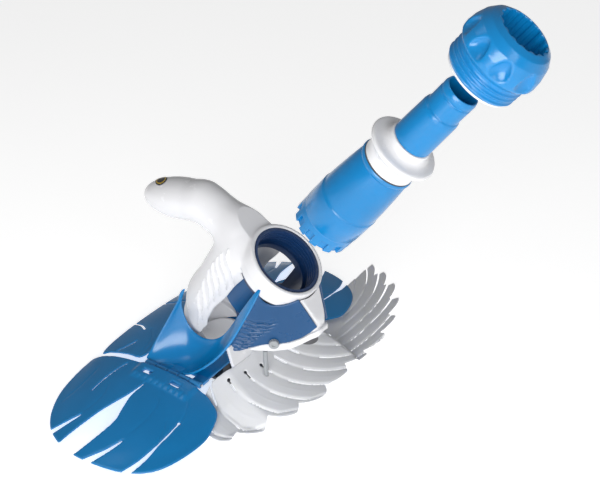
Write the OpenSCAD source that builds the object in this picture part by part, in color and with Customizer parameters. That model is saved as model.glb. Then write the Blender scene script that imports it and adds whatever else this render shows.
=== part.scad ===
// Suction pool cleaner: a head on a blue saddle with two hinged wings and a white finned skirt.
// The cassette and the hand nut are drawn out along the bore, as for cleaning the diaphragm.
// Origin: on the floor, under the front land of the sole. +Z up, front is -Y, the nose points to +Y.

/* [Bore] */
// Height of the middle of the bore's mouth above the floor
ring_z = 185; // [180:1:225]
// Distance of the bore's mouth in front of the origin
ring_y = 65; // [60:1:80]
// Lean of the bore from upright, toward the front, in degrees
bore_lean = 40; // [36:1:43]
// Depth of the cassette's seat below the bore's mouth
seat_depth = 28; // [24:1:34]
// Wall of the threaded liner
liner_wall = 4; // [3:0.5:5]
// Wall of the white collar round the liner
collar_wall = 5; // [4:0.5:8]

/* [Cassette] */
// Outside diameter of the barrel
barrel_d = 74; // [64:1:80]
// Length of the cassette from its castellated end to the underside of its flange
cassette_l = 148; // [130:1:158]
// Wall of the barrel
barrel_wall = 2.6; // [2:0.2:4]
// Number of notches in the castellated end
notch_n = 12; // [8:1:16]
// How far the cassette is drawn out of its seat
cassette_out = 253; // [200:1:280]
// Running gap between parts that slide or turn in each other
run_gap = 0.08; // [0.05:0.01:0.1]

/* [Spout] */
// Outside diameter of the spout where the hose cuff is pushed on
spout_d = 38; // [34:0.5:42]
// Length of the spout above the swivel collar
spout_l = 78; // [60:1:90]
// Wall of the spout
spout_wall = 2.4; // [2:0.2:3.5]

/* [Hand nut] */
// Outside diameter of the nut's domed body
nut_d = 86; // [84:1:96]
// Height of the nut's body above its thread
nut_h = 37; // [34:1:50]
// How far the nut is drawn off the swivel collar
nut_out = 110; // [100:1:130]

/* [Body] */
// Half of the width across the two wing hinges
hinge_x = 100; // [96:1:115]
// Height of the wing hinges above the floor
hinge_z = 32; // [31:1:36]
// Length of each wing hinge
hinge_l = 92; // [80:1:100]
// Diameter of the hinge pins
pin_d = 4; // [3:0.5:5]
// Thickness of the sole under the foot
sole_t = 5; // [4:0.5:8]
// Diameter of the suction mouth in the sole
mouth_d = 56; // [44:1:58]
// Distance of the suction mouth behind the origin
mouth_y = 48; // [46:1:52]
// Thickness of the blue and white mouldings
skin = 3; // [2.4:0.2:3.6]

/* [Wings and skirt] */
// Half of the span over the two wings
half_span = 256; // [240:1:280]
// Height of the crown of the wings' dome
dome_h = 42; // [41:0.5:46]
// Thickness of the wings
wing_t = 2.6; // [2:0.2:3]
// Reach of the finned skirt in front of the origin
skirt_reach = 130; // [120:1:140]
// Rise of the finned skirt toward the hull
skirt_h = 108; // [90:1:115]
// Number of feathers in the finned skirt
feather_n = 12; // [10:1:18]
// Thickness of the finned skirt
skirt_t = 1.8; // [1.4:0.2:2.4]

/* [Hidden] */
$fn = 64;
eps = 0.02;
face_gap = 0.3;

barrel_r = barrel_d / 2;
flange_r = barrel_r + 2.2;
thread_crest_r = flange_r + 0.3;
liner_r = thread_crest_r + 1.6;
liner_out_r = liner_r + liner_wall;
collar_r = liner_out_r + collar_wall;
seat_r = barrel_r + 0.6;
cavity_r = barrel_r + 2.5;
collar_l = 30;
liner_l = seat_depth + 8;
seal_t = 2.2;
thread_pitch = 4.6;

flange_t = 6;
neck_r = spout_d / 2 + 5;
neck_h = 16;
washer_t = 2;
cage_h = 22;
cage_floor = 3;
lip_drop = 22;
lip_r = barrel_r - 6;
dia_r = 17;
dia_l = 100;
guide_r = dia_r + 3;
guide_t = 9;
spool_r = lip_r - 5;
cassette_t = cassette_out - seat_depth;
end_s = cassette_l + seat_depth;
nut_bore_r = neck_r + 0.6;
nut_body_r = nut_d / 2;
thread_l = seat_depth - flange_t - washer_t + 0.8;
nut_thread_r = thread_crest_r - 0.4;
nut_t = cassette_t + flange_t + nut_out;
spout_base_r = spout_d / 2 + 3.5;
foot_r = spout_base_r - 2;

hinge_y0 = 1;
deck_t = 4;
deck_top = hinge_z + 1;
deck_z = deck_top - deck_t;
deck_back = hinge_y0 + hinge_l + 5;
knuckle_r = pin_d / 2 + 2.2;
knuckle_l = hinge_l / 5;
pin_hole_r = pin_d / 2 + run_gap;
mouth_r = mouth_d / 2;
throat_wall = 3;
throat_r = mouth_r + throat_wall;
sole_screws_at = [for (x = [-40, 40], y = [10, mouth_y + 40]) [x, y]];
screw_r = 1.8;
screw_post_r = 5;
tail_root = mouth_y + 40 + screw_post_r + 1;

// Corner points of the front hull, on its left side: behind, then at the stem
hull_back = [-70, -24];
hull_stem = [-12, -110];
hull_low = 76;
hull_dir = hull_stem - hull_back;
hull_len = norm(hull_dir);
hull_turn = atan2(hull_dir[1], hull_dir[0]);
hull_lip = 4;
hull_rear = hull_back[1] - 6;
panel_t = 2.4;
knob_at = [54, hull_low + 13];
stud_at = [44, -58];
stud_r = 3;

blue = [0.02, 0.42, 0.72];
navy = [0.03, 0.14, 0.34];
white = [0.93, 0.93, 0.94];
grey = [0.6, 0.62, 0.64];
black = [0.08, 0.08, 0.09];

// Height of the wings' upper face over the floor
function dome_z(x, y) = dome_h - x * x / 1900 - (y - 60) * (y - 60) / 640 + 0.6;

// Height of the skirt's upper face: a cone-like fall from the body, kept under the wings
function skirt_d(x, y) = norm([(x - 30) / 270, (y - 20) / (skirt_reach + 26)]);
function skirt_cone(x, y) = 3 + skirt_h * pow(max(0, 1 - skirt_d(x, y)), 1.3);
function skirt_cap(x, y) = dome_z(x, y) - 8 + max(0, hinge_x + 8 - abs(x)) * 0.9;
function skirt_z(x, y) = max(skirt_t + 0.4, min(skirt_cone(x, y), skirt_cap(x, y)));

function mix(a, b, u) = a + (b - a) * u;
function wave(u) = 4 * u * (1 - u);

// Closed sheet: the grid is its upper face and drop points through to its lower face
module sheet(grid, drop) {
    rows = len(grid);
    cols = len(grid[0]);
    n = rows * cols;
    upper = [for (r = grid) each r];
    lower = [for (p = upper) p + drop];
    faces_up = [for (i = [0:rows - 2], j = [0:cols - 2])
        let (a = i * cols + j) each [[a, a + cols, a + cols + 1], [a, a + cols + 1, a + 1]]];
    faces_low = [for (f = faces_up) [f[2] + n, f[1] + n, f[0] + n]];
    rim = concat([for (j = [0:cols - 1]) j], [for (i = [1:rows - 1]) i * cols + cols - 1],
        [for (j = [cols - 2:-1:0]) (rows - 1) * cols + j], [for (i = [rows - 2:-1:1]) i * cols]);
    m = len(rim);
    faces_rim = [for (k = [0:m - 1])
        let (a = rim[k], b = rim[(k + 1) % m]) each [[a, b, b + n], [a, b + n, a + n]]];
    polyhedron(points = concat(upper, lower), faces = concat(faces_up, faces_low, faces_rim),
        convexity = 8);
}

// Places its children in the bore's own frame: z runs up the bore, y leans back and up
module on_bore(t = 0) {
    translate([0, -ring_y, ring_z]) rotate([bore_lean, 0, 0]) translate([0, 0, t]) children();
}

// Room for the cassette when it is home in the bore
module cassette_room() {
    on_bore(-end_s - 2) cylinder(r = cavity_r, h = end_s);
}

// A ball of the head's outline, in the middle plane
module ball(y, z, r) {
    translate([0, y, z]) sphere(r = r, $fn = 32);
}

// ---------------------------------------------------------------- head

// The window in each flank, in front of the leg: an outline in the middle plane
module window_cut() {
    points = [[-60, 60], [-48, 138], [-30, 146], [-1, 127], [21, 105], [33, 84], [37, deck_top + 28],
        [34, deck_top + 8], [22, deck_top], [-60, deck_top]];
    rotate([90, 0, 90]) linear_extrude(height = 140, center = true) polygon(points);
}

module head_shell() {
    color(white)
    difference() {
        union() {
            hull() {
                nose_balls(0);
                ball(44, 236, 22);
            }
            hull() {
                ball(44, 236, 22);
                ball(66, 222, 20);
                ball(8, 208, 30);
            }
            hull() {
                ball(8, 208, 30);
                ball(-4, 180, 42);
                on_bore(-collar_l) cylinder(r = collar_r - 1, h = collar_l - 6);
            }
            hull() {
                ball(-4, 180, 42);
                ball(40, 96, 43);
            }
            hull() {
                ball(40, 96, 43);
                ball(52, 68, 42);
                translate([0, mouth_y + 2, deck_top]) cylinder(r = 38, h = 8);
            }
            on_bore(-collar_l) rotate_extrude() collar_profile();
        }
        on_bore(-liner_l - seal_t) cylinder(r = liner_out_r, h = liner_l + 20);
        cassette_room();
        translate([0, mouth_y, deck_top - 1]) cylinder(r = throat_r + 1, h = 40);
        on_bore(0) cylinder(r = 200, h = 150);
        window_cut();
        translate([-200, -200, -50]) cube([400, 400, 50 + deck_top]);
        foam_room(face_gap);
    }
}

// The two balls of the bulbous nose, smaller by the given wall
module nose_balls(wall) {
    ball(133 - wall * 0.6, 221, 23 - wall);
    ball(92, 226, 28 - wall);
}

// Space inside the nose that the foam fills
module foam_room(gap) {
    hull() {
        nose_balls(skin - gap);
        ball(50, 235, 19 - skin * 0.1 + gap);
    }
}

module collar_profile() {
    bead = collar_wall / 2;
    difference() {
        union() {
            square([collar_r, collar_l - bead]);
            translate([collar_r - bead, collar_l - bead]) circle(r = bead, $fn = 24);
            square([collar_r - bead, collar_l]);
        }
        translate([-1, -1]) square([10, collar_l + 2]);
    }
}

module float_foam() {
    color("ivory") foam_room(0);
}

// Generic oval badge let into the top of the nose
module nose_badge() {
    color(black)
    translate([-8, 128, 221]) rotate([-18, -20, 0]) translate([0, 0, 23.2]) cylinder(r = 7, h = 1.2);
}

module bore_liner() {
    ridge = 1.4;
    color(navy)
    on_bore(-liner_l)
    rotate_extrude()
    difference() {
        union() {
            translate([liner_r, 0]) square([liner_wall, liner_l - 1]);
            translate([seat_r, 0]) square([liner_out_r - seat_r, liner_l - seat_depth]);
            for (k = [0:3])
                translate([liner_r - ridge, liner_l - seat_depth + 8 + k * thread_pitch])
                    polygon([[0, 0.6], [ridge + 0.5, -0.4], [ridge + 0.5, 2.4], [0, 1.4]]);
        }
        translate([liner_out_r - 1.5, liner_l - 2]) square([3, 3]);
    }
    color(navy) liner_sleeve();
}

// Thin sleeve below the liner that guides the cassette: the front half of a tube
module liner_sleeve() {
    sleeve_l = 96;
    difference() {
        on_bore(-liner_l - sleeve_l) rotate_extrude()
            translate([seat_r, 0]) square([cavity_r - 0.3 - seat_r, sleeve_l + 1]);
        rotate([90, 0, 90]) linear_extrude(height = 140, center = true)
            polygon([[-50, 150], [-30, 121], [-12, 113], [-13, 100], [-11, 88], [-5, 77], [14, 64],
                [90, 40], [90, 190], [-16, 190]]);
    }
}

module liner_seal() {
    color(black)
    on_bore(-liner_l - seal_t + eps) difference() {
        cylinder(r = liner_out_r - 1, h = seal_t - 2 * eps);
        translate([0, 0, -1]) cylinder(r = cavity_r + 0.4, h = 5);
    }
}

// ---------------------------------------------------------------- front hull

module hull_plan(inset) {
    b = hull_back + [inset, 0];
    s = hull_stem + [inset, inset];
    polygon([b, s, [-s[0], s[1]], [-b[0], b[1]]]);
}

module hull_shell() {
    color(white)
    difference() {
        union() {
            translate([0, 0, hull_low]) linear_extrude(height = 110) hull_plan(0);
            translate([0, 0, hull_low - 2]) linear_extrude(height = 4) hull_plan(-hull_lip);
        }
        difference() {
            translate([0, 0, hull_low + skin]) linear_extrude(height = 110) hull_plan(skin);
            translate([0, 0, -skin]) top_cut();
        }
        collar_clear();
        cassette_room();
        top_cut();
        translate([-100, hull_rear, 0]) cube([200, 100, 300]);
    }
}

// Cuts the hull's top down from the collar to the low stem
module top_cut() {
    rotate([90, 0, 90]) linear_extrude(height = 300, center = true)
        polygon([[-22, hull_low + 3], [-55, 175], [-97, 150], [-118, 108], [-160, 108],
            [-160, 260], [20, 260], [20, hull_low + 3]]);
}

module panel_face() {
    polygon([[2, 79], [38, 172], [84, 148], [hull_len - 3, 108], [75, 84], [40, 79]]);
}

// Places its children on the hull's left face: x runs forward along it, y up, z outward
module on_hull_side() {
    translate([hull_back[0], hull_back[1], 0]) rotate([0, 0, hull_turn]) rotate([90, 0, 0]) children();
}

module side_panel() {
    rib_n = 7;
    rib_w = 2.2;
    rib_h = 1.4;
    rib_pitch = 6;
    on_hull_side() {
        linear_extrude(height = panel_t) panel_face();
        intersection() {
            linear_extrude(height = panel_t + rib_h) panel_face();
            for (k = [0:rib_n])
                translate([0, hull_low + 6 + k * rib_pitch, 0]) rotate([0, 0, -4])
                    cube([46 - k * 4, rib_w, panel_t + rib_h]);
        }
    }
}

// Room for the collar wherever something passes close to it
module collar_clear() {
    on_bore(-80) cylinder(r = collar_r + face_gap, h = 200);
}

module side_panel_left() {
    color(navy) difference() { side_panel(); collar_clear(); }
}

module side_panel_right() {
    color(navy) difference() { mirror([1, 0, 0]) side_panel(); collar_clear(); }
}

module trim_knob() {
    on_hull_side() translate([knob_at[0], knob_at[1], panel_t + eps]) {
        cylinder(r = 6, h = 4);
        translate([0, 0, 4]) cylinder(r1 = 6, r2 = 4.6, h = 1.4);
    }
}

// Two knobs low on the hull's panels that set how much water by-passes the cassette
module trim_knobs() {
    color(grey) {
        trim_knob();
        mirror([1, 0, 0]) trim_knob();
    }
}

module ballast_weight() {
    color("dimgray")
    translate([0, -92, hull_low + skin]) cylinder(r = 13, h = 12);
}

// ---------------------------------------------------------------- saddle and foot

saddle_rim = [[-48, 61, 124], [-52, 66, 88], [-50, 60, 64], [-50, 35, 58], [-52, 10, 70],
    [-58, -10, 92], [-60, -28, 124], [-57, -42, 158]];
saddle_hem = [[-hinge_x + 6, 98, deck_top - 2], [-hinge_x + 4, 88, deck_top - 2],
    [-hinge_x + 4, 66, deck_top - 2], [-hinge_x + 4, 36, deck_top - 2],
    [-hinge_x + 5, 12, deck_top - 1], [-90, -6, deck_top + 6], [-79, -18, 58], [-72.5, -22, hull_low + 4]];
saddle_cols = 9;

function saddle_point(i, v) =
    mix(saddle_rim[i], saddle_hem[i], v) + wave(v) * wave(i / (len(saddle_rim) + 1)) * [5, 0, -9];

module flank() {
    sheet([for (i = [0:len(saddle_rim) - 1]) [for (j = [0:saddle_cols]) saddle_point(i, j / saddle_cols)]],
        [skin, 0, -skin * 0.6]);
}

module knuckles(first, count, r) {
    for (k = [0:count - 1])
        translate([-hinge_x, hinge_y0 + (first + 2 * k) * knuckle_l + face_gap / 2, hinge_z])
            rotate([-90, 0, 0]) cylinder(r = r, h = knuckle_l - face_gap);
}

module hinge_bore() {
    translate([-hinge_x, hinge_y0 - 5, hinge_z]) rotate([-90, 0, 0])
        cylinder(r = pin_hole_r, h = hinge_l + 10);
}

module saddle() {
    tongue_w = hinge_x - 80;
    color(blue)
    difference() {
        union() {
            for (s = [0, 1]) mirror([s, 0, 0]) {
                flank();
                knuckles(0, 3, knuckle_r);
                for (k = [0:2])
                    translate([-hinge_x, hinge_y0 + 2 * k * knuckle_l + face_gap / 2, deck_z])
                        cube([tongue_w, knuckle_l - face_gap, deck_t]);
            }
            translate([-hinge_x + 12, -14, deck_z]) cube([2 * hinge_x - 24, deck_back + 14, deck_t]);
        }
        hinge_bore();
        mirror([1, 0, 0]) hinge_bore();
        for (s = [-1, 1], k = [1, 3])
            translate([s * hinge_x - 6.5, hinge_y0 + k * knuckle_l - face_gap / 2, hinge_z - 12])
                cube([13, knuckle_l + face_gap, 24]);
        translate([0, mouth_y, deck_z - 5]) cylinder(r = throat_r + face_gap, h = 20);
        cassette_room();
        collar_clear();
    }
}

// Navy duct from the cassette's end down to the mouth
module throat_duct() {
    color(navy)
    difference() {
        translate([0, mouth_y, sole_t]) difference() {
            cylinder(r = throat_r, h = deck_top - sole_t + 6);
            translate([0, 0, -1]) cylinder(r = mouth_r, h = deck_top + 20);
        }
        cassette_room();
    }
}

module sole_outline() {
    intersection() {
        translate([0, mouth_y - 2]) circle(r = 66);
        translate([-50, -18]) square([100, 132]);
    }
}

module sole_plate() {
    color(black)
    difference() {
        union() {
            linear_extrude(height = sole_t) sole_outline();
            for (p = sole_screws_at)
                translate([p[0], p[1], sole_t - 1]) cylinder(r = screw_post_r, h = deck_z - sole_t + 1);
        }
        translate([0, mouth_y, -1]) cylinder(r = mouth_r, h = sole_t + 2);
        for (p = sole_screws_at)
            translate([p[0], p[1], -1]) cylinder(r = screw_r, h = deck_z + 2);
    }
}

module sole_screws() {
    head_recess = 2;
    color("silver")
    for (p = sole_screws_at)
        translate([p[0], p[1], head_recess]) cylinder(r = screw_r - eps, h = deck_z - head_recess);
}

// ---------------------------------------------------------------- wings

module wing_plan() {
    tip = -half_span;
    difference() {
        polygon([[-hinge_x - 6, hinge_y0 + hinge_l + 6], [-hinge_x - 6, hinge_y0 - 4], [-118, -38],
            [-156, -49], [-186, -44], [-212, -34], [tip + 22, -16], [tip + 8, 6], [tip + 1, 28],
            [tip, 60], [tip + 6, 97], [tip + 18, 125], [tip + 40, 149], [tip + 70, 168],
            [tip + 100, 176], [-112, 177], [-104, 160]]);
        polygon([[-132, 64], [-160, 68], [-200, 60], [tip - 5, 78], [tip - 5, 96], [-205, 84], [-165, 76]]);
        polygon([[-195, -9], [-225, -8], [tip - 8, 4], [tip - 8, 10], [-222, -4]]);
        polygon([[-213, 28], [-235, 33], [tip - 8, 50], [tip - 8, 58], [-232, 38]]);
        polygon([[-206, 104], [-225, 110], [tip - 2, 130], [tip - 8, 136], [-222, 116]]);
        translate([-159, -12]) circle(r = 1.6);
    }
}

module dome(x0, x1, y0, y1, nx, ny) {
    sheet([for (i = [0:ny]) [for (j = [0:nx])
        let (x = mix(x0, x1, j / nx), y = mix(y0, y1, i / ny)) [x, y, max(dome_z(x, y), wing_t + 0.5)]]],
        [0, 0, -wing_t]);
}

module wing() {
    difference() {
        union() {
            intersection() {
                dome(-half_span - 10, -hinge_x, -60, 190, 22, 26);
                translate([0, 0, -20]) linear_extrude(height = 90) wing_plan();
            }
            for (k = [0:1])
                translate([-hinge_x - 12, hinge_y0 + (2 * k + 1) * knuckle_l + face_gap / 2, hinge_z - 2])
                    cube([12, knuckle_l - face_gap, 3.4]);
            knuckles(1, 2, knuckle_r);
        }
        hinge_bore();
    }
}

module wing_left() {
    color(blue) wing();
}

module wing_right() {
    color(blue) mirror([1, 0, 0]) wing();
}

module tail_skirt() {
    flap_y = deck_back + 3;
    color(blue) {
        intersection() {
            dome(-hinge_x - 4, hinge_x + 4, flap_y - 6, 186, 16, 9);
            translate([0, 0, -20]) linear_extrude(height = 90)
                polygon([[-hinge_x + 3, flap_y], [-101, 158], [-106, 172], [-70, 177], [0, 179], [70, 177],
                    [106, 172], [101, 158], [hinge_x - 3, flap_y]]);
        }
        translate([-60, tail_root, deck_z - 3]) cube([120, flap_y + 5 - tail_root, 3 - eps]);
        for (s = [-1, 1])
            translate([s * 50 - 5, deck_back + 1, deck_z - 1]) cube([10, 6, 14]);
    }
}

module hinge_pin() {
    translate([-hinge_x, hinge_y0 - 1, hinge_z]) rotate([-90, 0, 0])
        cylinder(r = pin_d / 2, h = hinge_l + 2);
}

module hinge_pin_left() {
    color("silver") hinge_pin();
}

module hinge_pin_right() {
    color("silver") mirror([1, 0, 0]) hinge_pin();
}

// ---------------------------------------------------------------- finned skirt

skirt_c = [72, 12];
skirt_a = 248;

function rim_point(u) = skirt_c + [skirt_a * cos(u), (skirt_reach + skirt_c[1] + 2) * sin(u)];

module feather_plan(u) {
    tip = rim_point(u) * 0.955 + skirt_c * 0.045;
    root = skirt_c + (rim_point(u - 12) - skirt_c) * 0.5;
    d = tip - root;
    len = norm(d);
    translate(root) rotate([0, 0, atan2(d[1], d[0])])
        polygon([[0, -7], [len * 0.45, -16], [len * 0.8, -17], [len - 4, -12], [len + 3, -4],
            [len + 3, 4], [len - 4, 11], [len * 0.8, 15], [len * 0.45, 14], [0, 9]]);
}

module skirt_plan() {
    difference() {
        union() {
            for (k = [0:feather_n - 1]) feather_plan(-150 + k * 140 / (feather_n - 1));
            polygon([[-150, -34], [-70, -64], [0, -72], [90, -70], [160, -50], [200, -30], [215, -12],
                [-150, -12]]);
        }
        polygon([[-104, 14], [-80, -12], [-62, -36], [-40, -52], [-20, -58], [20, -58], [40, -52],
            [62, -36], [80, -12], [104, 14], [104, 40], [-104, 40]]);
        translate([-300, -8]) square([700, 100]);
        for (s = [-1, 1]) translate([s * stud_at[0], stud_at[1]]) circle(r = stud_r + 0.2);
    }
}

module finned_skirt() {
    color(white)
    intersection() {
        sheet([for (i = [0:16]) [for (j = [0:34])
            let (x = mix(-200, 322, j / 34), y = mix(-skirt_reach - 12, 0, i / 16)) [x, y, skirt_z(x, y)]]],
            [0, 0, -skirt_t]);
        translate([0, 0, -20]) linear_extrude(height = 120) skirt_plan();
    }
}

// Studs from the hull's floor down through the skirt, each with a head below it
module skirt_studs() {
    head_h = 3;
    color(grey)
    for (s = [-1, 1]) {
        at = [s * stud_at[0], stud_at[1]];
        foot = skirt_z(at[0], at[1]) - skirt_t - 9;
        translate([at[0], at[1], foot]) cylinder(r = stud_r + 3, h = head_h);
        translate([at[0], at[1], foot]) cylinder(r = stud_r, h = hull_low - 2 - foot);
    }
}

// ---------------------------------------------------------------- cassette, drawn out of the bore

module cassette_frame() {
    on_bore(cassette_t) children();
}

module cassette_cage() {
    cage_r = barrel_r - 0.6;
    notch_w = 9;
    notch_h = 13;
    color(blue)
    cassette_frame() translate([0, 0, -cassette_l]) difference() {
        cylinder(r = cage_r, h = cage_h);
        translate([0, 0, cage_floor]) cylinder(r = cage_r - barrel_wall, h = cage_h);
        translate([0, 0, -1]) cylinder(r = dia_r, h = 10);
        for (k = [0:notch_n - 1]) rotate([0, 0, k * 360 / notch_n])
            translate([cage_r - barrel_wall - 2, -notch_w / 2, -1]) cube([8, notch_w, notch_h + 1]);
    }
}

// Profile of the barrel: a straight lower part, a step and a taper to the lip
module barrel() {
    step_z = -cassette_l * 0.62;
    low_z = -cassette_l + cage_h;
    inner_r = barrel_r - barrel_wall;
    neck_in_r = lip_r - barrel_wall;
    color(blue)
    cassette_frame() rotate_extrude() polygon([[inner_r, low_z], [barrel_r, low_z], [barrel_r, step_z],
        [barrel_r - 1.4, step_z + 1.4], [barrel_r - 1.4, step_z + 8], [lip_r, -34], [lip_r, -lip_drop],
        [neck_in_r, -lip_drop], [neck_in_r, -34], [inner_r - 1.4, step_z + 6], [inner_r, step_z]]);
}

module barrel_seal() {
    color(black)
    cassette_frame() translate([0, 0, -lip_drop]) difference() {
        cylinder(r = lip_r - 0.4, h = 1.6);
        translate([0, 0, -1]) cylinder(r = lip_r - barrel_wall - 1, h = 4);
    }
}

// Rubber tube with a pinched waist, between its two rings
module diaphragm() {
    wall = 2;
    waist_r = dia_r - 6;
    color(navy)
    cassette_frame() translate([0, 0, -cassette_l + cage_floor + guide_t]) rotate_extrude()
        polygon([[dia_r - wall, 0], [dia_r, 0], [dia_r, dia_l * 0.2], [waist_r, dia_l * 0.4],
            [waist_r, dia_l * 0.6], [dia_r, dia_l * 0.8], [dia_r, dia_l], [dia_r - wall, dia_l],
            [dia_r - wall, dia_l * 0.8], [waist_r - wall, dia_l * 0.6], [waist_r - wall, dia_l * 0.4],
            [dia_r - wall, dia_l * 0.2]]);
}

module diaphragm_ring() {
    color(grey)
    cassette_frame() translate([0, 0, -cassette_l + cage_floor + eps]) difference() {
        cylinder(r = guide_r + 1, h = guide_t - 2 * eps);
        translate([0, 0, -1]) cylinder(r = dia_r - 2, h = guide_t + 3);
    }
}

module compression_ring() {
    low = cage_floor + guide_t + dia_l;
    color(grey)
    cassette_frame() translate([0, 0, -cassette_l + low + eps]) difference() {
        cylinder(r = guide_r, h = cassette_l - low - lip_drop - 1);
        translate([0, 0, -1]) cylinder(r = dia_r - 2, h = cassette_l - low);
    }
}

// White spool that the nut clamps and the spout turns in
module swivel_collar() {
    low = -lip_drop + 1.6;
    color(white)
    cassette_frame() difference() {
        rotate_extrude() polygon([[foot_r - 2, low], [lip_r - 1, low], [lip_r - 1, -17], [spool_r, -15],
            [spool_r - 1, -10], [spool_r + 1, -5], [seat_r - 1, -1], [seat_r - 0.6, 0], [flange_r - 0.4, 0],
            [flange_r, 0.5], [flange_r, flange_t - 1], [flange_r - 1.2, flange_t], [neck_r, flange_t],
            [neck_r, neck_h], [neck_r - 1, neck_h + 1], [foot_r - 2, neck_h + 1]]);
        translate([0, 0, -30]) cylinder(r = foot_r + run_gap, h = 80);
    }
}

// The spout: a foot that turns in the swivel collar, a shoulder, a taper and a grooved end
module spout_tube() {
    end_r = spout_d / 2;
    bore_r = end_r - spout_wall;
    shoulder = neck_h + 1.4;
    top = neck_h + 1 + spout_l;
    groove = 0.8;
    color(blue)
    cassette_frame() rotate_extrude() polygon([[bore_r, -lip_drop], [foot_r, -lip_drop], [foot_r, shoulder],
        [spout_base_r, shoulder], [spout_base_r, neck_h + 8], [end_r, top - 34], [end_r, top - 10],
        [end_r - groove, top - 9.4], [end_r - groove, top - 8.4], [end_r, top - 7.8], [end_r, top - 1],
        [end_r - groove, top], [bore_r, top]]);
}

module spout_circlip() {
    clip_t = 1.8;
    color("silver")
    cassette_frame() translate([0, 0, -lip_drop - 0.4]) difference() {
        cylinder(r = foot_r + 3, h = clip_t);
        translate([0, 0, -1]) cylinder(r = foot_r + run_gap, h = clip_t + 2);
    }
}

// ---------------------------------------------------------------- hand nut

module slip_washer() {
    color(white)
    on_bore(nut_t) difference() {
        cylinder(r = nut_thread_r - 3, h = washer_t);
        translate([0, 0, -1]) cylinder(r = neck_r + 0.6, h = 5);
    }
}

module hand_nut() {
    grips = 9;
    ridge = 1.6;
    core_r = nut_thread_r - ridge;
    base = washer_t + face_gap;
    color(blue)
    on_bore(nut_t) difference() {
        union() {
            translate([0, 0, base]) cylinder(r = core_r, h = thread_l);
            for (k = [0:2])
                translate([0, 0, base + 2 + k * thread_pitch]) rotate_extrude()
                    polygon([[core_r - 1, 0], [nut_thread_r, 1.2], [nut_thread_r, 2.2], [core_r - 1, 3.4]]);
            translate([0, 0, base + thread_l]) rotate_extrude() polygon([[0, 0], [nut_body_r - 4, 0],
                [nut_body_r, 5], [nut_body_r, 11], [nut_body_r - 3, 24], [nut_body_r - 8, 34],
                [nut_body_r - 15, nut_h - 2], [nut_body_r - 19, nut_h], [0, nut_h]]);
        }
        translate([0, 0, -5]) cylinder(r = nut_bore_r, h = 100);
        translate([0, 0, base - 1]) cylinder(r = core_r - 3.4, h = thread_l + 6);
        for (k = [0:grips - 1]) rotate([0, 0, k * 360 / grips])
            translate([nut_body_r + 3, 0, base + thread_l + 10]) rotate([0, -14, 0]) cylinder(r = 8, h = 60);
    }
}

head_shell();
float_foam();
nose_badge();
bore_liner();
liner_seal();
hull_shell();
side_panel_left();
side_panel_right();
trim_knobs();
ballast_weight();
saddle();
throat_duct();
sole_plate();
sole_screws();
tail_skirt();
hinge_pin_left();
hinge_pin_right();
finned_skirt();
skirt_studs();
wing_left();
wing_right();
cassette_cage();
barrel();
barrel_seal();
diaphragm();
diaphragm_ring();
compression_ring();
swivel_collar();
spout_tube();
spout_circlip();
slip_washer();
hand_nut();
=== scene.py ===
import math

import bmesh
import bpy
import numpy as np
from mathutils import Matrix, Vector


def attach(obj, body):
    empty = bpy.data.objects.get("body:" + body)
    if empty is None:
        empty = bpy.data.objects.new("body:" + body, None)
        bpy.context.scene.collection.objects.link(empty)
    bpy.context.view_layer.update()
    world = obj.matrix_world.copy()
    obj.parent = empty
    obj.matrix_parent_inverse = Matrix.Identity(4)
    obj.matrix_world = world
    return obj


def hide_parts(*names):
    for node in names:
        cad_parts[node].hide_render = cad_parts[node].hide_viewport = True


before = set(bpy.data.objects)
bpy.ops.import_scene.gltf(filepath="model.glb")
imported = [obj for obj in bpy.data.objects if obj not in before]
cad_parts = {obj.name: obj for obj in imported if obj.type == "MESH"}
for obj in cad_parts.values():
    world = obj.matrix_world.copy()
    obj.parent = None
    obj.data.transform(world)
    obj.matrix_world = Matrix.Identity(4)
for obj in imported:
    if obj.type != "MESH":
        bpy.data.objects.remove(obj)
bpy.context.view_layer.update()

# ---- camera, floor and light
# A pale studio floor, a bright room and three soft boxes: one low on the left for the long
# highlights, one overhead, one in front. The camera looks down on the cleaner's left front.

MM = 0.001
BORE_MOUTH = np.array([0.0, -65.0, 185.0])
BORE_LEAN = math.radians(40)
UP_BORE = np.array([0.0, -math.sin(BORE_LEAN), math.cos(BORE_LEAN)])
BACK_BORE = np.array([0.0, math.cos(BORE_LEAN), math.sin(BORE_LEAN)])

scene = bpy.context.scene
scene.view_settings.view_transform = "Standard"
scene.view_settings.look = "None"
view_turn = math.radians(-56)
view_tilt = math.radians(29)
view_roll = math.radians(-1)
view_distance = 1.0
to_camera = np.array([math.sin(view_turn) * math.cos(view_tilt),
                      -math.cos(view_turn) * math.cos(view_tilt), math.sin(view_tilt)])
level = np.array([math.cos(view_turn), math.sin(view_turn), 0.0])
upright = np.cross(to_camera, level)
right = math.cos(view_roll) * level + math.sin(view_roll) * upright
upward = -math.sin(view_roll) * level + math.cos(view_roll) * upright
aim = BORE_MOUTH * MM + 0.0144 * right + 0.0168 * upward
place = aim + view_distance * to_camera

camera_data = bpy.data.cameras.new("camera")
camera_data.lens = 50
camera_data.sensor_width = 36
camera = bpy.data.objects.new("camera", camera_data)
camera.matrix_world = Matrix(((right[0], upward[0], to_camera[0], place[0]),
                              (right[1], upward[1], to_camera[1], place[1]),
                              (right[2], upward[2], to_camera[2], place[2]), (0, 0, 0, 1)))
scene.collection.objects.link(camera)
scene.camera = camera


def lamp(name, where, target, size, power, tint=(1, 1, 1)):
    data = bpy.data.lights.new(name, "AREA")
    data.shape = "RECTANGLE"
    data.size, data.size_y = size
    data.energy = power
    data.color = tint
    obj = bpy.data.objects.new(name, data)
    obj.location = where
    obj.rotation_euler = (Vector(target) - Vector(where)).to_track_quat("-Z", "Y").to_euler()
    scene.collection.objects.link(obj)


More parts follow.
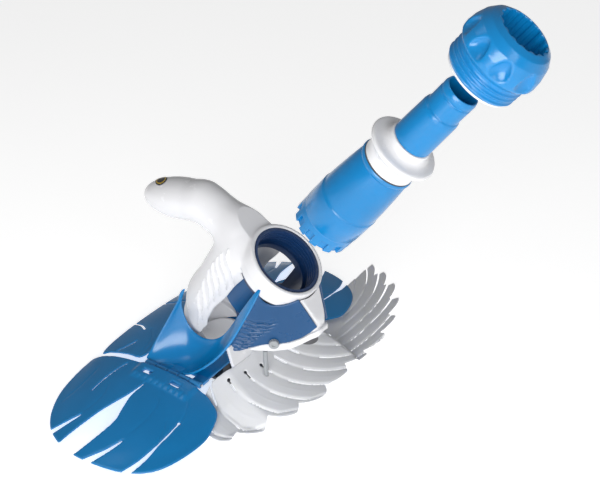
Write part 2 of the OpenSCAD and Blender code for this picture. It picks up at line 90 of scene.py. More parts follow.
lamp("left_box", (-1.5, -0.7, 0.55), (0, 0, 0.15), (1.2, 0.7), 21)
lamp("top_box", (-0.5, 0.7, 1.9), (0, -0.05, 0.1), (0.6, 0.6), 1.5)
lamp("front_box", (-0.9, -1.6, 1.0), (0, -0.1, 0.3), (0.35, 0.9), 3)

world = bpy.data.worlds.new("room")
scene.world = world
world.use_nodes = True
world.node_tree.nodes["Background"].inputs["Color"].default_value = (1, 1, 1, 1)
world.node_tree.nodes["Background"].inputs["Strength"].default_value = 0.24


def fill(node, values):
    """Sets sockets of a node by name."""
    for socket, value in values.items():
        node.inputs[socket].default_value = value


def floor_finish():
    mat = bpy.data.materials.new("pale_floor")
    mat.use_nodes = True
    shader = mat.node_tree.nodes["Principled BSDF"]
    fill(shader, {"Base Color": (0.93, 0.93, 0.93, 1), "Roughness": 0.9, "Emission Color": (1, 1, 1, 1),
                  "Emission Strength": 0.62})
    return mat


floor_mesh = bpy.data.meshes.new("floor")
floor_mesh.from_pydata([(-6, -6, 0), (6, -6, 0), (6, 6, 0), (-6, 6, 0)], [], [(0, 1, 2, 3)])
floor_mesh.materials.append(floor_finish())
floor = bpy.data.objects.new("floor", floor_mesh)
floor.location.z = -0.0004
scene.collection.objects.link(floor)

# ---- head shell
# One white blow-moulded shell: the foam-filled nose, the arm, the collar round the bore
# and the wide hollow leg that stands in the saddle. The raised flames on each flank are
# part of the moulding; the leg's front is open, so that the cassette can be reached.


def moulded(name, colour, gloss=0.25, peel=0.04, drift=0.06, edge=0.12, coat=0.0, grain=900, flex=0.0):
    """A plastic with a fine orange-peel skin, faint flow marks, uneven gloss and paler edges."""
    mat = bpy.data.materials.new(name)
    mat.use_nodes = True
    tree = mat.node_tree
    shader = tree.nodes["Principled BSDF"]
    coords = tree.nodes.new("ShaderNodeTexCoord")
    link = tree.links.new

    def noise(scale, detail, rough=0.5):
        tex = tree.nodes.new("ShaderNodeTexNoise")
        fill(tex, {"Scale": scale, "Detail": detail, "Roughness": rough})
        link(coords.outputs["Object"], tex.inputs["Vector"])
        return tex

    def spread(value, low, high, out_low, out_high):
        node = tree.nodes.new("ShaderNodeMapRange")
        fill(node, {"From Min": low, "From Max": high, "To Min": out_low, "To Max": out_high})
        link(value, node.inputs["Value"])
        return node.outputs["Result"]

    def blend(factor, a, b, mode="MIX"):
        node = tree.nodes.new("ShaderNodeMix")
        node.data_type = "RGBA"
        node.blend_type = mode
        for socket, value in ((node.inputs[6], a), (node.inputs[7], b)):
            if isinstance(value, tuple):
                socket.default_value = (*value, 1)
            else:
                link(value, socket)
        link(factor, node.inputs[0])
        return node.outputs[2]

    flow = noise(9, 3)
    cloud = noise(42, 5, 0.6)
    darker = tuple(c * (1 - drift * 2) for c in colour)
    paler = tuple(min(1, c * (1 + drift) + drift * 0.08) for c in colour)
    tint = blend(spread(flow.outputs["Fac"], 0.3, 0.7, 0, 1), darker, paler)
    geometry = tree.nodes.new("ShaderNodeNewGeometry")
    worn = spread(geometry.outputs["Pointiness"], 0.52, 0.62, 0, edge)
    pale_edge = tuple(min(1, c * 0.6 + 0.38) for c in colour)
    tint = blend(worn, tint, pale_edge)
    link(tint, shader.inputs["Base Color"])
    link(spread(cloud.outputs["Fac"], 0.3, 0.75, gloss * 0.82, gloss * 1.25), shader.inputs["Roughness"])
    fill(shader, {"IOR": 1.5, "Coat Weight": coat, "Coat Roughness": 0.08})
    if flex:
        fill(shader, {"Subsurface Weight": flex, "Subsurface Radius": (0.004, 0.004, 0.005),
                      "Subsurface Scale": 0.5})
    fine = noise(grain, 2)
    bump = tree.nodes.new("ShaderNodeBump")
    fill(bump, {"Strength": peel, "Distance": 0.0006})
    link(fine.outputs["Fac"], bump.inputs["Height"])
    link(bump.outputs["Normal"], shader.inputs["Normal"])
    return mat


def dress(finish, *names):
    """Gives solids of the frame that stay in view their material."""
    for name in names:
        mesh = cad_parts[name].data
        mesh.materials.clear()
        mesh.materials.append(finish)
        mesh.shade_smooth()
        mesh.set_sharp_from_angle(angle=math.radians(32))


white_gloss = moulded("white_gloss", (0.78, 0.78, 0.80), gloss=0.24, peel=0.05, drift=0.012, edge=0.05,
                      coat=0.15)
foam_ivory = moulded("foam_ivory", (0.78, 0.74, 0.62), gloss=0.8, peel=0.5, drift=0.08, edge=0.0, grain=350)
dress(foam_ivory, "float_foam")


def surface_from(shape, low, high, step):
    """Mesh of the surface shape(p) = 0, in millimetres; shape is negative inside."""
    axes = [np.arange(low[i], high[i] + step, step, dtype=np.float32) for i in range(3)]
    size = [len(a) for a in axes]
    field = np.empty(size, np.float32)
    across, along = np.meshgrid(axes[1], axes[2], indexing="ij")
    for i, x in enumerate(axes[0]):
        slab = np.stack([np.full(across.size, x), across.ravel(), along.ravel()], 1)
        field[i] = shape(slab).reshape(size[1:])
    cells = [n - 1 for n in size]
    total = np.zeros((cells[0] * cells[1] * cells[2], 3))
    count = np.zeros(len(total))
    rings = []
    for axis in range(3):
        near = [slice(None)] * 3
        far = [slice(None)] * 3
        near[axis] = slice(0, -1)
        far[axis] = slice(1, None)
        a, b = field[tuple(near)], field[tuple(far)]
        crossed = (a < 0) != (b < 0)
        edge = np.argwhere(crossed)
        point = edge.astype(float)
        point[:, axis] += a[crossed] / (a[crossed] - b[crossed])
        first, second = (axis + 1) % 3, (axis + 2) % 3
        ring = []
        for d1, d2 in ((1, 1), (0, 1), (0, 0), (1, 0)):
            cell = edge.copy()
            cell[:, first] -= d1
            cell[:, second] -= d2
            ring.append((cell[:, 0] * cells[1] + cell[:, 1]) * cells[2] + cell[:, 2])
        for index in ring:
            for k in range(3):
                total[:, k] += np.bincount(index, point[:, k], len(total))
            count += np.bincount(index, minlength=len(total))
        ring = np.stack(ring, 1)
        ring[b[crossed] < 0] = ring[b[crossed] < 0][:, ::-1]
        rings.append(ring)
    used = np.flatnonzero(count)
    number = np.full(len(total), -1)
    number[used] = np.arange(len(used))
    points = np.array(low) + step * total[used] / count[used, None]
    for _ in range(3):
        value = shape(points)
        slope = np.stack([(shape(points + e) - shape(points - e)) / 0.4 for e in 0.2 * np.eye(3)], 1)
        steep = np.maximum((slope ** 2).sum(1), 0.25)
        move = np.clip(value / steep, -step * 0.5, step * 0.5)
        points = points - slope * move[:, None]
    return points, number[np.concatenate(rings)]


def mesh_piece(name, points, faces, finish, body, slot, replaced=(), sharp=40):
    """A new piece from points in millimetres."""
    mesh = bpy.data.meshes.new(name)
    mesh.from_pydata((np.asarray(points) * MM).tolist(), [], np.asarray(faces).tolist()
                     if isinstance(faces, np.ndarray) else faces)
    mesh.validate()
    mesh.materials.append(finish)
    mesh.shade_smooth()
    if sharp:
        mesh.set_sharp_from_angle(angle=math.radians(sharp))
    obj = bpy.data.objects.new(name, mesh)
    scene.collection.objects.link(obj)
    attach(obj, body)
    if replaced:
        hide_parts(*replaced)
    return obj


def length(v):
    return np.sqrt((v ** 2).sum(-1))


def round_cone(p, a, b, ra, rb):
    a, b = np.array(a, float), np.array(b, float)
    t = np.clip((p - a) @ (b - a) / ((b - a) @ (b - a)), 0, 1)
    return length(p - a - t[:, None] * (b - a)) - (ra + (rb - ra) * t)


def join(a, b, k):
    h = np.clip(0.5 + 0.5 * (b - a) / k, 0, 1)
    return b + (a - b) * h - k * h * (1 - h)


def cut(a, b, k):
    return -join(-a, b, k)


def bore_frame(p):
    q = p - BORE_MOUTH
    return q[:, 0], q @ BACK_BORE, q @ UP_BORE


def disc(radial, height, radius, low, high, fillet):
    """A round bar about the bore with filleted ends."""
    beyond = np.abs(height - (low + high) / 2) - (high - low) / 2
    d = np.stack([radial - radius + fillet, beyond + fillet], 1)
    return length(np.maximum(d, 0)) + np.minimum(d.max(1), 0) - fillet


def outline_distance(u, v, corners):
    """Signed distance in a plane to a closed outline, negative inside."""
    corners = np.array(corners, float)
    best = np.full(u.shape, 1e9)
    inside = np.zeros(u.shape, bool)
    p = np.stack([u, v], 1)
    for a, b in zip(corners, np.roll(corners, -1, 0)):
        ab = b - a
        t = np.clip((p - a) @ ab / (ab @ ab), 0, 1)
        best = np.minimum(best, length(p - a - t[:, None] * ab))
        spans = (a[1] > v) != (b[1] > v)
        with np.errstate(divide="ignore", invalid="ignore"):
            hit = u < (b[0] - a[0]) * (v - a[1]) / (b[1] - a[1]) + a[0]
        inside ^= spans & hit
    return np.where(inside, -best, best)


COLLAR_R, LINER_R, CAVITY_R = 50.1, 45.1, 39.6
COLLAR_L, SEAT_END = 30.0, 178.0
DECK_TOP = 33.0
MOUTH_Y = 48.0
NOSE_AT = np.array([0.0, 92.0, 226.0])
NOSE_LONG = np.array([0.0, 0.993, -0.119])
NOSE_UP = np.array([0.0, 0.119, 0.993])
NOSE_HALF = np.array([28.0, 66.0, 27.0])
LEG_WINDOW = [(-60, 60), (-52, 132), (-45, 146), (-30, 149), (-1, 129), (21, 106.5), (33, 85), (37, 61),
              (34, 42), (24, 32), (-60, 29)]


def nose_shape(p):
    q = p - NOSE_AT
    q = np.stack([q[:, 0], q @ NOSE_LONG, q @ NOSE_UP], 1)
    near = length(q / NOSE_HALF)
    return near * (near - 1) / np.maximum(length(q / NOSE_HALF ** 2), 1e-6)


def head_outside(p):
    arm = join(nose_shape(p), round_cone(p, (0, 60, 230), (0, 4, 204), 26, 28), 9)
    shoulder = join(arm, round_cone(p, (0, 4, 204), (0, -10, 180), 28, 40), 12)
    leg = join(round_cone(p, (0, -6, 180), (0, 44, 98), 41, 42),
               round_cone(p, (0, 44, 98), (0, 57, 66), 42, 41), 10)
    body = join(shoulder, leg, 12)
    x, back, up = bore_frame(p)
    radial = np.hypot(x, back)
    body = np.maximum(body, up + 4.5)
    sleeve = round_cone(p, BORE_MOUTH - 18 * UP_BORE, BORE_MOUTH - 44 * UP_BORE, COLLAR_R - 1, 30)
    sleeve = np.maximum(sleeve, up + 5)
    body = join(body, sleeve, 9)
    return join(body, disc(radial, up, COLLAR_R, -COLLAR_L, 0, 2.4), 3)


def head_shape(p):
    x, back, up = bore_frame(p)
    radial = np.hypot(x, back)
    body = head_outside(p)
    body = cut(body, disc(radial, up, LINER_R, -38, 60, 0.1), 1.2)
    body = cut(body, disc(radial, up, CAVITY_R, -SEAT_END, 60, 0.5), 1.5)
    body = cut(body, outline_distance(p[:, 1], p[:, 2], LEG_WINDOW) - 1.5, 2.2)
    throat = np.maximum(np.hypot(p[:, 0], p[:, 1] - MOUTH_Y) - 32, p[:, 2] - DECK_TOP - 30)
    body = cut(body, throat, 1.5)
    return np.maximum(body, DECK_TOP - p[:, 2])


FLAME_LIFT, FLAME_HALF = 2.4, 3.4
FLAMES = [((-7, 200), (-14, 150), 1.0), ((2, 193), (-2, 140), 1.0), ((10, 184), (9, 129), 1.0),
          ((18, 174), (18, 117), 1.0),
          ((26, 162), (28, 101), 0.95), ((35, 145), (38, 84), 0.9), ((43, 128), (48, 68), 0.8)]


def flame_height(y, z):
    """Height of the raised flames at a place on the flank, in millimetres."""
    rise = np.zeros(y.shape)
    for top, foot, scale in FLAMES:
        top, foot = np.array(top, float), np.array(foot, float)
        along = foot - top
        span = length(along)
        along = along / span
        side = np.array([-along[1], along[0]])
        q = np.stack([y, z], 1) - top
        t = (q @ along) / span
        off = q @ side - 2.6 * np.sin(t * 2 * math.pi * 1.15 + 0.6) * scale
        width = FLAME_HALF * scale * np.clip(np.sin(np.clip(t, 0, 1) * math.pi), 0, 1) ** 0.55 + 0.01
        inside = (t > 0) & (t < 1)
        lean = np.clip((off / width + 1) / 2, 0, 1)
        profile = np.where(lean < 0.72, lean / 0.72, (1 - lean) / 0.28)
        profile = profile * profile * (3 - 2 * profile)
        rise = np.maximum(rise, np.where(inside & (np.abs(off) < width), FLAME_LIFT * scale * profile, 0))
    return rise


head_step = 1.2
head_points, head_faces = surface_from(head_shape, (-54, -110, 31), (54, 160, 262), head_step)
flank = np.abs(head_points[:, 0]) > 17
outer = np.abs(head_outside(head_points)) < 0.35
lift = np.where(flank & outer, flame_height(head_points[:, 1], head_points[:, 2]), 0)
outward = np.stack([(head_outside(head_points + e) - head_outside(head_points - e)) / 0.4
                    for e in 0.2 * np.eye(3)], 1)
head_points = head_points + outward * lift[:, None]
mesh_piece("head_shell_skin", head_points, head_faces, white_gloss, "head", "white_shell",
           ["head_shell"], 50)

# ---- wings
# Two wide blue wings, moulded in thin bendy plastic over one shallow dome and slit from
# the rim like feathers. Each hangs on a steel pin by two knuckles beside a raised root.


def brushed(name, colour, gloss):
    """A metal brushed along its length, with a little tarnish."""
    mat = bpy.data.materials.new(name)
    mat.use_nodes = True
    tree = mat.node_tree
    shader = tree.nodes["Principled BSDF"]
    link = tree.links.new
    shader.inputs["Metallic"].default_value = 1.0
    coords = tree.nodes.new("ShaderNodeTexCoord")
    scale = tree.nodes.new("ShaderNodeMapping")
    scale.inputs["Scale"].default_value = (900, 60, 900)
    link(coords.outputs["Object"], scale.inputs["Vector"])
    lines = tree.nodes.new("ShaderNodeTexNoise")
    lines.inputs["Scale"].default_value = 1.0
    link(scale.outputs["Vector"], lines.inputs["Vector"])
    ramp = tree.nodes.new("ShaderNodeMapRange")
    fill(ramp, {"To Min": gloss * 0.6, "To Max": gloss * 1.4})
    link(lines.outputs["Fac"], ramp.inputs["Value"])
    link(ramp.outputs["Result"], shader.inputs["Roughness"])
    tone = tree.nodes.new("ShaderNodeMix")
    tone.data_type = "RGBA"
    tone.inputs[6].default_value = (*[c * 0.75 for c in colour], 1)
    tone.inputs[7].default_value = (*colour, 1)
    link(lines.outputs["Fac"], tone.inputs[0])
    link(tone.outputs[2], shader.inputs["Base Color"])
    return mat


stainless = brushed("stainless", (0.72, 0.72, 0.74), 0.3)
blue_gloss = moulded("blue_gloss", (0.0, 0.20, 0.50), gloss=0.22, peel=0.05, drift=0.05, edge=0.12,
                     coat=0.1)
dress(stainless, "hinge_pin_left", "hinge_pin_right")

HINGE_X, HINGE_Y, HINGE_Z, HINGE_LONG = 100.0, 1.0, 32.0, 92.0


def smooth(points, closed=True, steps=8):
    """A soft curve through the given points."""
    p = np.array(points, float)
    n = len(p)
    out = []
    for i in range(n if closed else n - 1):
        picks = [(i + k) % n if closed else min(max(i + k, 0), n - 1) for k in (-1, 0, 1, 2)]
        before, a, b, after = p[picks]
        for t in np.arange(steps) / steps:
            out.append(0.5 * (2 * a + (b - before) * t + (2 * before - 5 * a + 4 * b - after) * t ** 2
                              + (3 * a - before - 3 * b + after) * t ** 3))
    if not closed:
        out.append(p[-1])
    return np.array(out)


def line_distance(u, v, points):
    """Distance in a plane to an open line, and how far along it the nearest place is."""
    p = np.stack([u, v], 1)
    points = np.array(points, float)
    best = np.full(u.shape, 1e9)
    place = np.zeros(u.shape)
    count = len(points) - 1
    for i, (a, b) in enumerate(zip(points, points[1:])):
        ab = b - a
        t = np.clip((p - a) @ ab / (ab @ ab), 0, 1)
        d = length(p - a - t[:, None] * ab)
        place = np.where(d < best, (i + t) / count, place)
        best = np.minimum(best, d)
    return best, place


def plate(outline, top, thickness, low, high, step, under=None):
    """A thin moulding with a round rim: outline(x, y) is negative inside, top(x, y) its upper face."""
    xs = np.arange(low[0], high[0] + step, step)
    ys = np.arange(low[1], high[1] + step, step)
    gx, gy = np.meshgrid(xs, ys, indexing="ij")
    field = outline(gx.ravel(), gy.ravel()).reshape(gx.shape)
    points = []
    where = {}

    def corner(i, j):
        key = (i, j)
        if key not in where:
            where[key] = len(points)
            points.append((gx[i, j], gy[i, j], False))
        return where[key]

    def crossing(a, b):
        key = (a, b) if a < b else (b, a)
        if key not in where:
            fa, fb = field[key[0]], field[key[1]]
            t = min(max(fa / (fa - fb), 0.04), 0.96)
            pa = np.array([gx[key[0]], gy[key[0]]])
            pb = np.array([gx[key[1]], gy[key[1]]])
            q = pa + t * (pb - pa)
            where[key] = len(points)
            points.append((q[0], q[1], True))
        return where[key]

    inside = field < 0
    quads = np.argwhere(inside[:-1, :-1] | inside[1:, :-1] | inside[:-1, 1:] | inside[1:, 1:])
    faces = []
    for i, j in quads:
        ring = [(i, j), (i + 1, j), (i + 1, j + 1), (i, j + 1)]
        flags = [inside[c] for c in ring]
        if all(flags):
            faces.append([corner(*c) for c in ring])
            continue
        if flags in ([True, False, True, False], [False, True, False, True]):
            for k in range(4):
                if flags[k]:
                    a, b, c = ring[k - 1], ring[k], ring[(k + 1) % 4]
                    faces.append([crossing(a, b), corner(*b), crossing(b, c)])
            continue
        face = []
        for k in range(4):
            a, b = ring[k], ring[(k + 1) % 4]
            if inside[a]:
                face.append(corner(*a))
            if inside[a] != inside[b]:
                face.append(crossing(a, b))
        faces.append(face)
    points = np.array(points, float)
    on_rim = points[:, 2] > 0.5
    x, y = points[:, 0], points[:, 1]
    depth = np.where(on_rim, 0, np.maximum(-outline(x, y), 0))
    half = thickness / 2
    fall = half - np.sqrt(np.maximum(half ** 2 - (half - np.minimum(depth, half)) ** 2, 0))
    z = top(x, y)
    upper = np.stack([x, y, z - fall], 1)
    lower = np.stack([x, y, (under(x, y) if under else z - thickness) + fall], 1)
    n = len(points)
    number = np.arange(n) + n
    number[on_rim] = np.flatnonzero(on_rim)
    everything = np.concatenate([upper, lower])
    shell = faces + [[int(number[k]) for k in reversed(face)] for face in faces]
    used = sorted({k for face in shell for k in face})
    renumber = {k: m for m, k in enumerate(used)}
    return everything[used], [[renumber[k] for k in face] for face in shell]


WING_RIM = smooth([(-106, 99), (-106, 60), (-106, -3), (-112, -26), (-120, -39), (-138, -46), (-158, -49),
                   (-186, -44),
                   (-212, -34), (-230, -20), (-243, 0), (-251, 26), (-255, 58), (-253, 84), (-247, 106),
                   (-236, 128),
                   (-216, 149), (-186, 167), (-156, 175), (-126, 178), (-113, 175), (-107, 150)], steps=6)
WING_SLITS = [[(-134, 64), (-158, 66), (-180, 61), (-204, 57), (-262, 72), (-262, 98), (-205, 87),
               (-181, 79), (-158, 70)],
              [(-196, -10), (-222, -10), (-262, -1), (-262, 8), (-224, -5)],
              [(-213, 28), (-233, 33), (-264, 48), (-264, 58), (-234, 38)],
              [(-206, 103), (-222, 109), (-262, 128), (-262, 138), (-222, 114)]]
WING_CUTS = [[(-159, -12), (-172, -11.5), (-186, -11), (-197, -10)],
             [(-170, 122), (-152, 122), (-132, 119), (-114, 113)],
             [(-112, 158), (-98, 152), (-84, 145)]]
WING_SEAMS = [smooth([(-118, 7), (-132, -4), (-146, -10), (-158, -12)], False),
              smooth([(-205, 28), (-180, 24), (-156, 26), (-140, 34)], False),
              smooth([(-204, 104), (-184, 100), (-166, 102), (-150, 110)], False),
              smooth([(-196, -9), (-176, -2), (-162, 4)], False),
              smooth([(-128, 150), (-150, 146), (-176, 146), (-200, 150)], False)]


def dome_height(x, y):
    return 42.6 - x * x / 1900 - (y - 60) ** 2 / 640


def wing_outline(x, y):
    d = outline_distance(x, y, WING_RIM)
    for slit in WING_SLITS:
        d = np.maximum(d, -outline_distance(x, y, smooth(slit, steps=4)) + 0.3)
    for line in WING_CUTS[:2]:
        d = np.maximum(d, 0.75 - line_distance(x, y, smooth(line, False))[0])
    d = np.maximum(d, 2.1 - np.hypot(x + 159, y + 12))
    d = np.maximum(d, 3.2 - np.maximum(np.abs(x + 118), np.abs(y - 74) - 4))
    return np.maximum(d, 3.2 - np.maximum(np.abs(x + 118), np.abs(y - 28) - 4))


def wing_top(x, y):
    z = np.maximum(dome_height(x, y), 3.3)
    for seam in WING_SEAMS:
        d, place = line_distance(x, y, seam)
        z = z - 0.55 * np.exp(-(d / 1.1) ** 2) * np.clip(place * 8, 0, 1) * np.clip((1 - place) * 8, 0, 1)
    root = np.clip((x + 134) / 10, 0, 1) * np.clip((y + 2) / 8, 0, 1) * np.clip((98 - y) / 8, 0, 1)
    z = z + 2.2 * root * root * (3 - 2 * root)
    ribs = np.clip((np.cos((y - 49) * 2 * math.pi / 9.2) - 0.45) / 0.4, 0, 1)
    band = np.clip((x + 131) / 3, 0, 1) * np.clip((-122 - x) / 3, 0, 1)
    band = band * np.clip((y - 6) / 5, 0, 1) * np.clip((92 - y) / 5, 0, 1)
    z = z - 0.7 * ribs * band
    curl = np.clip((np.hypot((x + 100) / 156, (y - 62) / 116) - 0.86) / 0.14, 0, 1)
    return z - 1.6 * curl ** 2 * np.clip((z - 6) / 12, 0, 1)


def knuckle_tube(places, side, radius):
    """Hinge knuckles as short tubes along the pin, with eased ends."""
    ring, ends = 28, 1.0
    points, faces = [], []
    for y0, y1 in places:
        base = len(points)
        bore = 2.08
        rows = [(bore, y0 + 0.5), (bore + 0.5, y0), (radius - ends, y0), (radius, y0 + ends),
                (radius, y1 - ends), (radius - ends, y1), (bore + 0.5, y1), (bore, y1 - 0.5)]
        for r, y in rows:
            for k in range(ring):
                a = 2 * math.pi * k / ring
                points.append((side * HINGE_X + r * math.cos(a), y, HINGE_Z + r * math.sin(a)))
        for m in range(len(rows)):
            for k in range(ring):
                a, b = base + m * ring + k, base + m * ring + (k + 1) % ring
                c = base + ((m + 1) % len(rows)) * ring
                faces.append([b, a, c + k, c + (k + 1) % ring])
    return points, faces


def add_parts(*parts):
    points, faces = [], []
    for some_points, some_faces in parts:
        base = len(points)
        points.extend([tuple(float(q) for q in p) for p in some_points])
        faces.extend([[int(k) + base for k in face] for face in some_faces])
    return points, faces


def brick(x0, x1, y0, y1, z0, z1, ease=0.6):
    """A small block with eased edges."""
    block = bmesh.new()
    bmesh.ops.create_cube(block, size=1)
    for v in block.verts:
        v.co = Vector(((x0 + x1) / 2 + v.co.x * (x1 - x0), (y0 + y1) / 2 + v.co.y * (y1 - y0),
                       (z0 + z1) / 2 + v.co.z * (z1 - z0)))
    bmesh.ops.bevel(block, geom=list(block.edges), offset=ease, segments=2, profile=0.5, affect="EDGES")
    block.verts.index_update()
    points = [tuple(v.co) for v in block.verts]
    faces = [[v.index for v in f.verts] for f in block.faces]
    block.free()
    return points, faces


STEP_LONG = HINGE_LONG / 5
wing_step = 1.3
WING_THICK, WING_LOWEST = 2.6, 3.3


def wing_under(x, y):
    return np.maximum(dome_height(x, y), WING_LOWEST) - WING_THICK


wing_sheet = plate(wing_outline, wing_top, WING_THICK, (-262, -56), (-102, 184), wing_step, wing_under)
wing_knuckles = [(HINGE_Y + k * STEP_LONG + 0.3, HINGE_Y + (k + 1) * STEP_LONG - 0.3) for k in (1, 3)]
for side, name in ((-1, "wing_left"), (1, "wing_right")):
    lugs = [brick(-116, -101.5, y0, y1, 29.8, 33.6) for y0, y1 in wing_knuckles]
    points, faces = add_parts(wing_sheet, *lugs)
    if side > 0:
        points = [(-x, y, z) for x, y, z in points]
        faces = [face[::-1] for face in faces]
    points, faces = add_parts((points, faces), knuckle_tube(wing_knuckles, side, 4.2))
    mesh_piece(name + "_moulding", points, faces, blue_gloss, name, "blue_shell", [name], 38)

# ---- tail flap
# A blue flap between the wings behind the deck, of the same thin plastic. It hooks under
# the deck's rear edge, and two slits let it bend over the floor.

TAIL_RIM = smooth([(-96, 103), (-98, 130), (-100, 160), (-104, 170), (-90, 176), (-60, 179), (0, 180),
                   (60, 179), (90, 176),
                   (104, 170), (100, 160), (98, 130), (96, 103), (60, 101.5), (0, 101.5), (-60, 101.5)],
                   steps=5)


def tail_outline(x, y):
    d = outline_distance(x, y, TAIL_RIM)
    for side in (-1, 1):
        cut_line = smooth([(side * 96, 150), (side * 84, 143), (side * 70, 138)], False)
        d = np.maximum(d, 1.0 - line_distance(x, y, cut_line)[0])
        middle = smooth([(side * 30, 184), (side * 34, 164), (side * 42, 150)], False)
        d = np.maximum(d, 1.3 - line_distance(x, y, middle)[0])
    return d


def tail_top(x, y):
    z = dome_height(x, y)
    for side in (-1, 1):
        d, place = line_distance(x, y, smooth([(side * 88, 112), (side * 60, 120), (side * 40, 138)],
                                              False))
        z = z - 0.5 * np.exp(-(d / 1.1) ** 2)
    return z - 0.5 * np.exp(-((y - 108) / 1.2) ** 2)


tail_sheet = plate(tail_outline, tail_top, WING_THICK, (-108, 98), (108, 184), wing_step)
hooks = [brick(s * 50 - 5, s * 50 + 5, 99, 105, 27.5, 38.5) for s in (-1, 1)] + [brick(-60, 60, 94.5,
                                                                                       104.5, 26.1, 28.9)]
points, faces = add_parts(tail_sheet, *hooks)
mesh_piece("tail_flap", points, faces, blue_gloss, "head", "blue_shell", ["tail_skirt"], 38)

# ---- saddle
# The blue saddle that carries everything: two hollow flanks sweep from the foot of the
# leg down to the wing hinges and rise in front to a horn beside the collar. The deck
# between them is screwed to the sole, and three knuckles a side take the hinge pins.

black_rubber = moulded("black_rubber", (0.018, 0.018, 0.02), gloss=0.62, peel=0.35, drift=0.15, edge=0.1,
                       grain=500)
dress(white_gloss, "throat_duct")
dress(black_rubber, "sole_plate")
dress(stainless, "sole_screws")

FLANK_RIM = [(-39, 66, 123), (-47, 72, 107), (-49, 68, 88), (-50, 60, 68), (-50, 42, 59), (-50, 22, 63),
             (-51, 4, 76), (-53, -14, 100), (-54.5, -32, 130), (-52.5, -49, 156), (-49.5, -57.5, 168)]
FLANK_HEM = [(-95, 99, 33), (-96, 93, 32), (-96.5, 80, 31.5), (-96.5, 62, 31.5), (-96.5, 40, 33),
             (-96, 20, 41),
             (-93, 3, 55), (-83, -13, 70), (-73.5, -27.5, 92), (-60.8, -46, 133), (-50.6, -59.5, 167)]


def loft(name, rows, thickness, levels, finish, body, replaced=(), crease=0.0, sharp=60):
    """A curved moulding through rows of points, with a soft rolled rim."""
    rows = np.array(rows, float) * MM
    count, across = rows.shape[:2]
    shape = bmesh.new()
    verts = [[shape.verts.new(rows[i, j]) for j in range(across)] for i in range(count)]
    for i in range(count - 1):
        for j in range(across - 1):
            shape.faces.new((verts[i][j], verts[i][j + 1], verts[i + 1][j + 1], verts[i + 1][j]))
    shape.normal_update()
    mesh = bpy.data.meshes.new(name)
    shape.to_mesh(mesh)
    shape.free()
    mesh.materials.append(finish)
    obj = bpy.data.objects.new(name, mesh)
    scene.collection.objects.link(obj)
    thick = obj.modifiers.new("thickness", "SOLIDIFY")
    thick.thickness = thickness * MM
    thick.offset = -1
    thick.use_even_offset = True
    thick.edge_crease_rim = crease
    round_off = obj.modifiers.new("rounding", "SUBSURF")
    round_off.levels = levels
    round_off.render_levels = levels
    mesh.shade_smooth()
    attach(obj, body)
    if replaced:
        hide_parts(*replaced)
    return obj


def flank_rows(side):
    rows = []
    for i, (rim, hem) in enumerate(zip(FLANK_RIM, FLANK_HEM)):
        rim, hem = np.array(rim, float), np.array(hem, float)
        hollow = np.array([7.0, 0, -11.0]) * math.sin(math.pi * min(1, i / 7.5)) ** 0.8
        row = []
        for v in (0, 0.04, 0.16, 0.34, 0.55, 0.76, 0.92, 0.975, 1):
            p = rim + (hem - rim) * v + hollow * 4 * v * (1 - v)
            row.append(p * [side, 1, 1] * [-1, 1, 1])
        rows.append(row if side < 0 else row[::-1])
    return rows


DECK_WIDE, DECK_FRONT, DECK_REAR, DECK_HOLE_R = 88.0, 2.0, 97.0, 31.3


def deck_outline(x, y):
    """The deck, with the duct's round hole and room for the seated cassette."""
    d = np.maximum(np.abs(x) - DECK_WIDE, np.maximum(DECK_FRONT - y, y - DECK_REAR))
    side, back, up = bore_frame(np.column_stack([x, y, np.full(x.shape, DECK_TOP - 2)]))
    d = np.maximum(d, -np.maximum(np.hypot(side, back) - CAVITY_R, -SEAT_END - up))
    return np.maximum(d, DECK_HOLE_R - np.hypot(x, y - MOUTH_Y))


saddle_knuckles = [(HINGE_Y + k * STEP_LONG + 0.3, HINGE_Y + (k + 1) * STEP_LONG - 0.3) for k in (0, 2, 4)]
deck_parts = [plate(deck_outline, lambda x, y: 0 * x + DECK_TOP, 4.0, (-90, 0), (90, 99), wing_step)]
for side in (-1, 1):
    deck_parts.append(knuckle_tube(saddle_knuckles, side, 4.2))
    for y0, y1 in saddle_knuckles:
        x0, x1 = sorted((side * 84, side * 97))
        deck_parts.append(brick(x0, x1, y0, y1, 29, 33.2))
points, faces = add_parts(*deck_parts)
mesh_piece("saddle_deck", points, faces, blue_gloss, "head", "blue_shell", ["saddle"], 35)
for side in (-1, 1):
    name = "saddle_flank_left" if side < 0 else "saddle_flank_right"
    loft(name, flank_rows(side), 3.0, 3, blue_gloss, "head", ["saddle"])

# ---- finned skirt
# One white disc of soft plastic under the hull, which swirls out into a dozen feathers
# that lap over each other like shingles. Two grey studs pin it to the hull's floor.

fin_white = moulded("fin_white", (0.74, 0.75, 0.77), gloss=0.42, peel=0.08, drift=0.02, edge=0.04,
                    flex=0.15)
stud_grey = moulded("stud_grey", (0.34, 0.36, 0.38), gloss=0.4, peel=0.12, drift=0.05)
dress(stud_grey, "skirt_studs")

SKIRT_CENTRE = (72.0, 12.0)
SKIRT_REACH = (248.0, 144.0)
FEATHER_TURN = 12.7
FEATHER_START = -157.7
SWIRL = 104.0
STUD_X, STUD_Y, STUD_HOLE_R = 44.0, -58.0, 3.2
SKIRT_NECK = smooth([(-110, 24), (-103, 4), (-87, -12), (-69, -24), (-43, -31), (-20, -32), (20, -32),
                     (43, -31), (69, -24), (87, -12), (103, 4), (110, 24), (0, 60)], steps=4)


def skirt_polar(x, y):
    u = (x - SKIRT_CENTRE[0]) / SKIRT_REACH[0]
    v = (y - SKIRT_CENTRE[1]) / SKIRT_REACH[1]
    rho = np.maximum(np.hypot(u, v), 1e-3)
    turn = np.degrees(np.arctan2(v, u))
    span = np.hypot(x - SKIRT_CENTRE[0], y - SKIRT_CENTRE[1]) / rho
    return rho, turn, span


